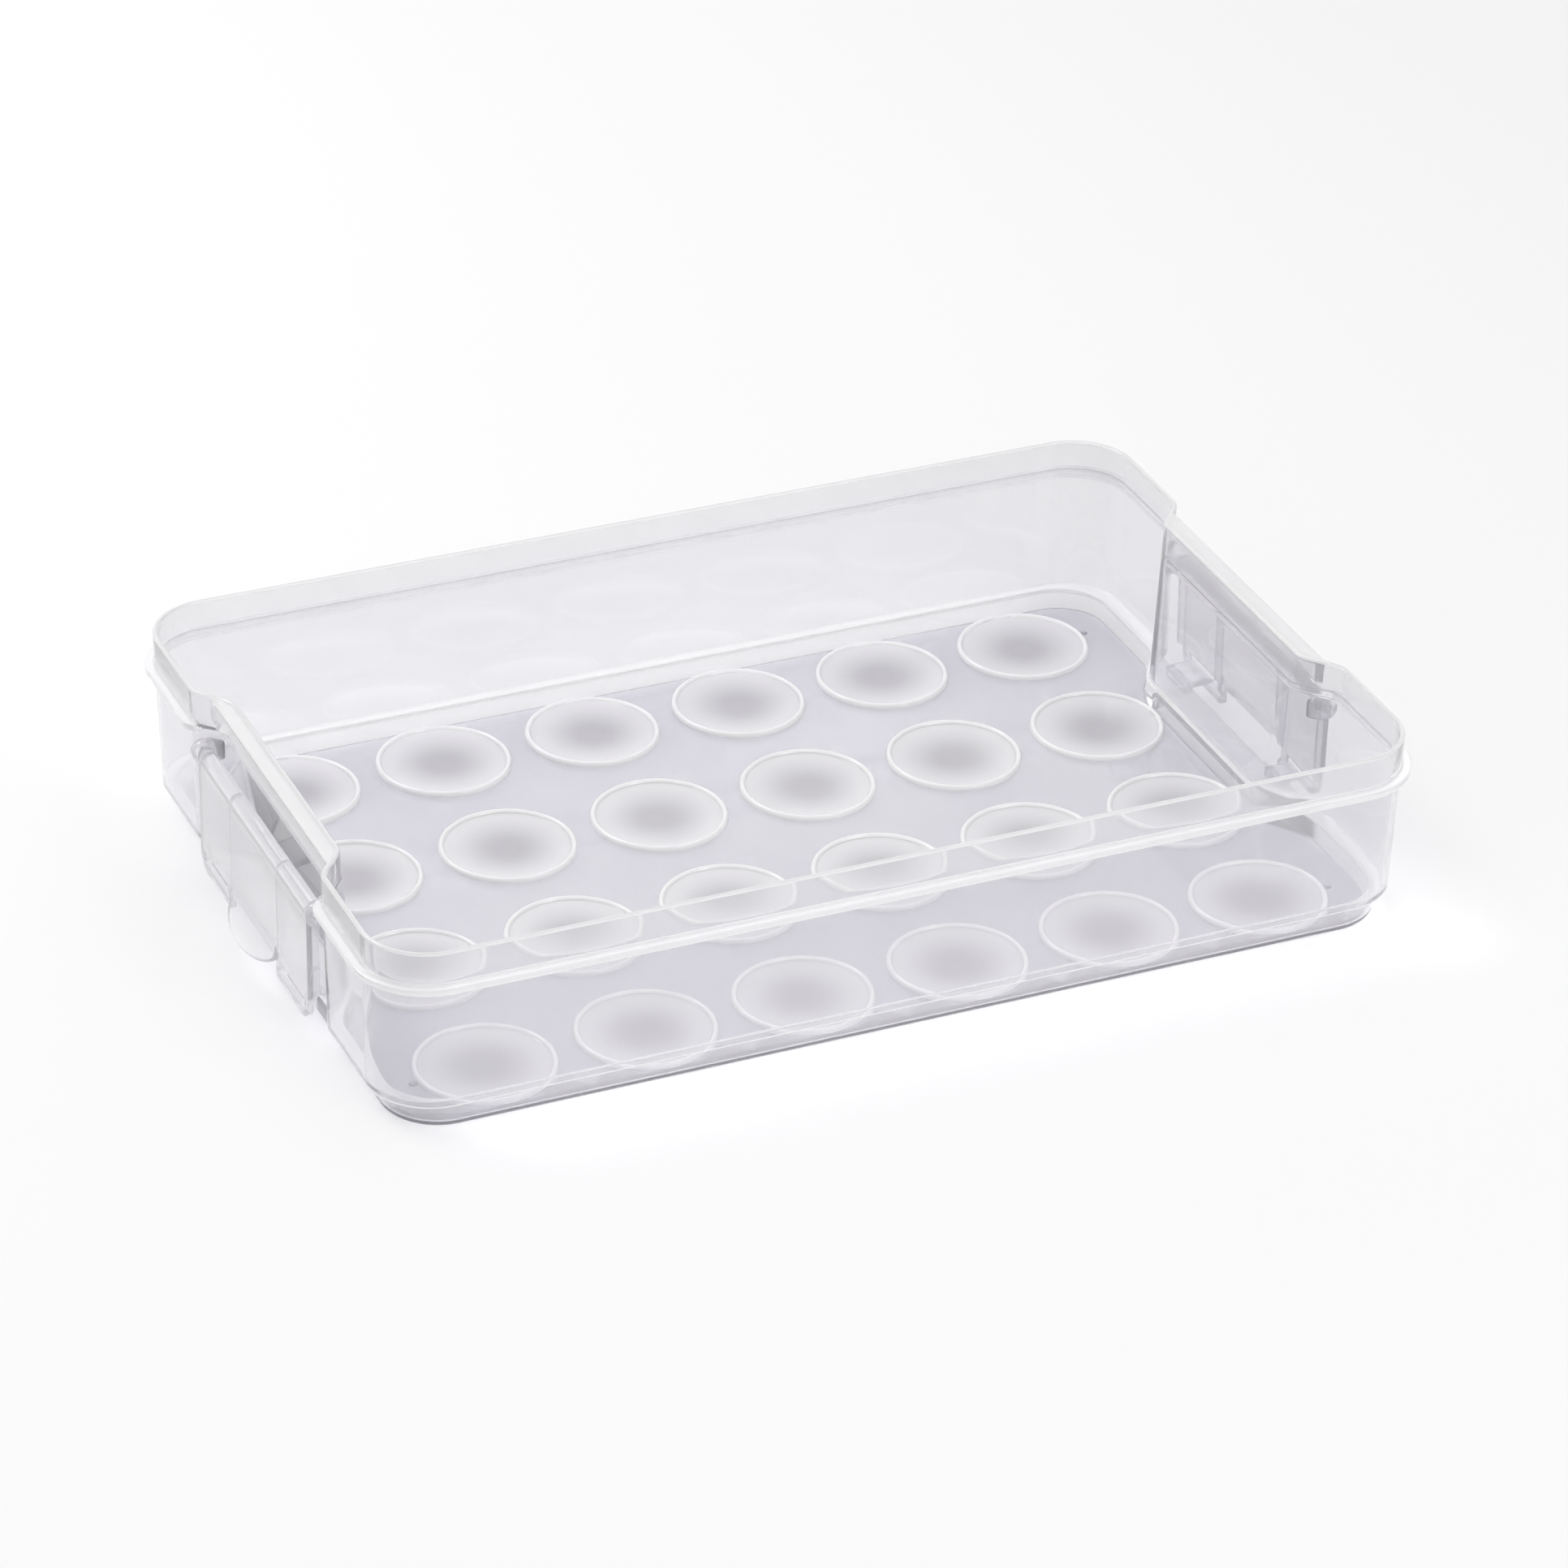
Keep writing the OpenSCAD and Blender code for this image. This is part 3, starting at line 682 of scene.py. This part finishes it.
def dome(x, y, z, r, h):
    """A closed dome: a quarter ellipse of radius r and height h turned about its axis."""
    turn = np.linspace(0, np.pi / 2, 6)[:-1, None]
    round_turn = np.linspace(0, 2 * np.pi, 24, endpoint=False)[None, :]
    rings = np.stack([x + r * np.cos(turn) * np.cos(round_turn), y + r * np.cos(turn) * np.sin(round_turn),
                      z + h * np.sin(turn) + 0 * round_turn], -1)
    rows, cols = rings.shape[:2]
    points = np.concatenate([rings.reshape(-1, 3), [[x, y, z + h]]])
    cap = [[(rows - 1) * cols + k, (rows - 1) * cols + (k + 1) % cols, rows * cols] for k in range(cols)]
    return points, grid_faces(rows, cols).tolist() + cap + [list(range(cols))[::-1]]


pip_domes = [dome(x, y, plate_top - pip_sunk, pip_r, pip_h) for x in (-pip_x, pip_x) for y in (-pip_y, pip_y)]
make_piece("pips", *gather(pip_domes), insert_plastic, "insert", "frosted_insert")

# Swing clips. One clear moulding at each end: a barrel with two pins, a plate with two
# windows and a rolled lower rail, and a finger lip bent out of the plate's middle.
clip_half = 0.0455
clip_t = 0.0016
barrel_r = 0.0024
clip_len = 0.036
clip_low_z = hinge_z - clip_len
rail_r = 0.0014
clip_corner = 0.005
finger_half = 0.019
finger_gap = 0.0003
finger_r = 0.009
finger_turn = math.radians(65)
finger_bow = 0.0045
finger_top = clip_low_z + (finger_r + clip_t) * math.sin(finger_turn)
window_up = 0.0028
window_z = clip_low_z + window_up
window_h = 0.0036
window_in = 0.003
front_x = hinge_x + barrel_r
plate_x = front_x - clip_t


def slab(front, back, keep):
    """A closed solid between two matching grids of points. Only the cells marked keep are there;
    a wall joins front and back wherever a kept cell meets an absent one."""
    rows, cols = front.shape[:2]
    index = np.arange(rows * cols).reshape(rows, cols)
    under = index + rows * cols
    a, b, c, d = index[:-1, :-1], index[:-1, 1:], index[1:, 1:], index[1:, :-1]
    faces = [np.stack([a, b, c, d], -1)[keep], np.stack([a, d, c, b], -1)[keep] + rows * cols]
    full = np.pad(keep, 1)
    for near, far, start, end in (
            (full[1:-1, 1:-1], full[:-2, 1:-1], (a, b), (b, a)),
            (full[1:-1, 1:-1], full[2:, 1:-1], (c, d), (d, c)),
            (full[1:-1, 1:-1], full[1:-1, :-2], (d, a), (a, d)),
            (full[1:-1, 1:-1], full[1:-1, 2:], (b, c), (c, b))):
        open_side = near & ~far
        p, q = start[0][open_side], start[1][open_side]
        faces.append(np.stack([q, p, under.reshape(-1)[p], under.reshape(-1)[q]], -1))
    points = np.concatenate([front.reshape(-1, 3), back.reshape(-1, 3)])
    return points, np.concatenate(faces).tolist()


def clip_columns():
    """y of the clip's grid lines: close together at the rounded lower corners, at the windows'
    ends and at the finger lip's sides."""
    end = clip_half - clip_corner
    corner = end + clip_corner * np.sin(np.linspace(0, np.pi / 2, 9))
    outer_window = clip_half - window_in
    inner_window = finger_half + window_in
    half = np.concatenate([
        np.linspace(0, finger_half - finger_gap, 14), [finger_half],
        np.linspace(inner_window, end, 10), corner[1:], [outer_window]])
    half = np.unique(np.round(half, 6))
    return np.concatenate([-half[:0:-1], half])


def clip_side_rows(y):
    """Front and back x, and z, of the plate's side parts from the lower edge to the windows'
    top. The lower edge is a roll that swells backwards. At a rounded corner the rows are squeezed
    up: past the windows all of them, and beside a window only the roll."""
    over = np.clip(np.abs(y) - (clip_half - clip_corner), 0, clip_corner)
    low = (clip_corner - np.sqrt(np.maximum(clip_corner ** 2 - over ** 2, 0)))[None, :]
    roll = np.linspace(0, np.pi, 9)[:, None]
    fade = 1 - np.clip(over / clip_corner, 0, 1)[None, :]
    back_x = plate_x - (2 * rail_r - clip_t) * fade * np.sin(roll)
    up = np.concatenate([rail_r * (1 - np.cos(roll)), [[window_z - clip_low_z + window_h]]]) + 0 * low
    full = np.where(over > window_in - 0.0005, up[-1], up[-2])[None, :]
    up = np.where(up <= full, low + up * (full - low) / full, up)
    back_x = np.concatenate([back_x, back_x[-1:]])
    return np.full_like(back_x, front_x), back_x, clip_low_z + up


def clip_body(side):
    """The clip as one slab: front and back run up from the lower roll past the windows and the
    ribs' root to the barrel, and in the middle they curl out into the finger lip instead."""
    y = clip_columns()
    side_front, side_back, side_z = clip_side_rows(y)
    middle = np.abs(y) < finger_half - finger_gap / 2
    rise_z = np.linspace(finger_top, hinge_z - 2 * barrel_r, 5)
    front = [np.stack([side_front, np.broadcast_to(y, side_z.shape), side_z], -1)]
    back = [np.stack([side_back, np.broadcast_to(y, side_z.shape), side_z], -1)]
    flat_y, flat_z = np.meshgrid(y, rise_z)
    flat = np.stack([np.full_like(flat_y, front_x), flat_y, flat_z], -1)
    front.append(flat)
    back.append(flat - [clip_t, 0, 0])
    meet = math.acos((barrel_r - clip_t) / barrel_r)
    turn = np.linspace(0, 1, 12)[:, None] + 0 * y[None]
    front_turn = turn * np.pi / 2
    back_turn = -meet - turn * (3 * np.pi / 2 - meet)
    for grid, around in ((front, front_turn), (back, back_turn)):
        grid.append(np.stack([hinge_x + barrel_r * np.cos(around), y + 0 * around,
                              hinge_z + barrel_r * np.sin(around)], -1))
    front, back = np.concatenate(front), np.concatenate(back)
    curl_rows = len(side_z)
    bend_x = front_x + finger_r
    reach = bend_x - finger_r * math.cos(finger_turn)
    bow_r = (finger_half ** 2 + finger_bow ** 2) / (2 * finger_bow)
    limit = reach - bow_r + np.sqrt(bow_r ** 2 - np.minimum(np.abs(y), finger_half) ** 2)
    top_turn = np.arccos(np.clip((bend_x - limit) / finger_r, -1, 1))
    share = np.linspace(1, 0, curl_rows + 1)[:-1, None]
    for grid, r in ((front, finger_r), (back, finger_r + clip_t)):
        angle = share * top_turn[None]
        curled = np.stack([bend_x - r * np.cos(angle), y + 0 * angle, finger_top - r * np.sin(angle)], -1)
        grid[:curl_rows, middle] = curled[:, middle]
    rows, cols = front.shape[:2]
    keep = np.ones((rows - 1, cols - 1), bool)
    y_mid = np.abs(y[1:] + y[:-1]) / 2
    gap = (y_mid > finger_half - finger_gap) & (y_mid < finger_half)
    keep[:curl_rows, gap] = False
    windows = (y_mid > finger_half + window_in) & (y_mid < clip_half - window_in)
    keep[curl_rows - 2, windows] = False
    points, faces = slab(front, back, keep)
    return weld(points * [side, side, 1], faces)


clip_plastic = clear_plastic("clear clip plastic", (0.955, 0.95, 0.96), (0.92, 0.915, 0.93),
                             clearness=0.76, rough_low=0.03, rough_high=0.08, ripple=0.06)
pin_r = 0.0015
rib_deep = 0.002
rib_t = 0.0012
rib_sunk = 0.0001
pin_sunk = 0.0005
rib_low = window_z + window_h


def rod(x, z, r, y0, y1):
    """A closed round bar along y with a small chamfer at each end."""
    turn = np.linspace(0, 2 * np.pi, 32, endpoint=False)
    chamfer = 0.0003
    y = np.array([y0, y0 + chamfer, y1 - chamfer, y1])[:, None]
    radius = np.array([r - chamfer, r, r, r - chamfer])[:, None]
    rings = np.stack([x + radius * np.cos(turn), y + 0 * turn, z + radius * np.sin(turn)], -1)
    rows, cols = rings.shape[:2]
    faces = grid_faces(rows, cols)[:, ::-1].tolist()
    ends = [list(range(cols)), list(range((rows - 1) * cols, rows * cols))[::-1]]
    return rings.reshape(-1, 3), faces + ends


def rib(y):
    """A stiffening rib behind the plate: a thin bar whose lower end slopes into the plate."""
    top = hinge_z - barrel_r / 2
    root = plate_x + rib_sunk
    profile = np.array([[root, rib_low], [root, top],
                        [plate_x - rib_deep, top], [plate_x - rib_deep, rib_low + rib_deep]])
    return prism(profile, y, y + rib_t)


for clip_name, side in (("clip_right", 1), ("clip_left", -1)):
    plate = make_piece(clip_name + "_plate", *clip_body(side), clip_plastic, clip_name, "clear_clip")
    soften(plate, 0.0003)
    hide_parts(clip_name)
    pins = [turned(rod(hinge_x, hinge_z, pin_r, *ends), side)
            for ends in ((clip_half - pin_sunk, lug_out_y), (-lug_out_y, -clip_half + pin_sunk))]
    make_piece(clip_name + "_pins", *gather(pins), clip_plastic, clip_name, "clear_clip")
    ribs = [turned(rib(y), side) for y in (-clip_half, clip_half - rib_t, -finger_half - rib_t, finger_half)]
    make_piece(clip_name + "_ribs", *gather(ribs), clip_plastic, clip_name, "clear_clip", smooth=False)

# Floor. A plain pale surface under the tray, which keeps a soft shadow. What looks at it, straight
# or through the plastic, sees it nearly white.
floor_half = 3.0
floor_z = -0.0002
floor_corners = [(x * floor_half, y * floor_half, floor_z) for x, y in ((-1, -1), (1, -1), (1, 1), (-1, 1))]
floor_mesh = bpy.data.meshes.new("floor")
floor_mesh.from_pydata(floor_corners, [], [(0, 1, 2, 3)])
floor = bpy.data.objects.new("floor", floor_mesh)
bpy.context.scene.collection.objects.link(floor)


def seen_share(tree, low, high):
    """Low for light that falls on the object, high for what the camera, a reflection or clear
    plastic looks at."""
    rays = tree.nodes.new("ShaderNodeLightPath")
    first, second = tree.nodes.new("ShaderNodeMath"), tree.nodes.new("ShaderNodeMath")
    first.operation = second.operation = "MAXIMUM"
    tree.links.new(rays.outputs["Is Camera Ray"], first.inputs[0])
    tree.links.new(rays.outputs["Is Glossy Ray"], first.inputs[1])
    tree.links.new(first.outputs[0], second.inputs[0])
    tree.links.new(rays.outputs["Is Transmission Ray"], second.inputs[1])
    share = tree.nodes.new("ShaderNodeMapRange")
    share.inputs["To Min"].default_value = low
    share.inputs["To Max"].default_value = high
    tree.links.new(second.outputs[0], share.inputs["Value"])
    return share.outputs["Result"]


floor_paint = bpy.data.materials.new("pale floor")
floor_paint.use_nodes = True
floor_shader = floor_paint.node_tree.nodes["Principled BSDF"]
floor_shader.inputs["Base Color"].default_value = (0.86, 0.86, 0.86, 1)
floor_shader.inputs["Roughness"].default_value = 0.8
floor_shader.inputs["Specular IOR Level"].default_value = 0.2
floor_shader.inputs["Emission Color"].default_value = (1, 1, 1, 1)
floor_glow = seen_share(floor_paint.node_tree, 0, 0.1)
floor_paint.node_tree.links.new(floor_glow, floor_shader.inputs["Emission Strength"])
floor_mesh.materials.append(floor_paint)

# Lights. A broad soft lamp high on the left behind, a second one low in front for the wall's
# sheen, and an even pale sky that glass and camera see as white.
world = bpy.data.worlds.new("pale sky")
bpy.context.scene.world = world
world.use_nodes = True
sky = world.node_tree.nodes["Background"]
sky.inputs["Color"].default_value = (1, 1, 1, 1)
world.node_tree.links.new(seen_share(world.node_tree, 0.7, 0.95), sky.inputs["Strength"])


def soft_lamp(name, place, size, power):
    """A square area lamp at place that shines on the tray's middle."""
    light = bpy.data.lights.new(name, "AREA")
    light.size = size
    light.energy = power
    lamp = bpy.data.objects.new(name, light)
    lamp.location = place
    lamp.rotation_euler = (Vector((0, 0, 0.02)) - Vector(place)).to_track_quat("-Z", "Y").to_euler()
    bpy.context.scene.collection.objects.link(lamp)


soft_lamp("high lamp", (-0.7, 0.9, 1.3), 0.6, 9)
soft_lamp("front lamp", (0.5, -1.3, 0.9), 0.5, 4.5)

# Camera. It stands in front and to the left, looking down on the tray, with a long lens.
azimuth, elevation, roll = math.radians(-24.04), math.radians(30.41), math.radians(1.24)
distance = 1.8112
centre_right, centre_up = -0.00444, -0.01961
image_size, focal_pixels = 1932, 7670
back_way = Vector((math.sin(azimuth) * math.cos(elevation), -math.cos(azimuth) * math.cos(elevation),
                   math.sin(elevation)))
right_way = (-back_way).cross(Vector((0, 0, 1))).normalized()
up_way = right_way.cross(-back_way)
camera_right = math.cos(roll) * right_way + math.sin(roll) * up_way
camera_up = -math.sin(roll) * right_way + math.cos(roll) * up_way
camera_place = back_way * distance - camera_right * centre_right - camera_up * centre_up
camera_data = bpy.data.cameras.new("camera")
camera_data.sensor_width = 36
camera_data.lens = focal_pixels / image_size * camera_data.sensor_width
camera_data.clip_end = 20
camera = bpy.data.objects.new("camera", camera_data)
camera_turn = Matrix((camera_right, camera_up, back_way)).transposed().to_4x4()
camera.matrix_world = Matrix.Translation(camera_place) @ camera_turn
bpy.context.scene.collection.objects.link(camera)
bpy.context.scene.camera = camera
bpy.context.scene.view_settings.view_transform = "Standard"
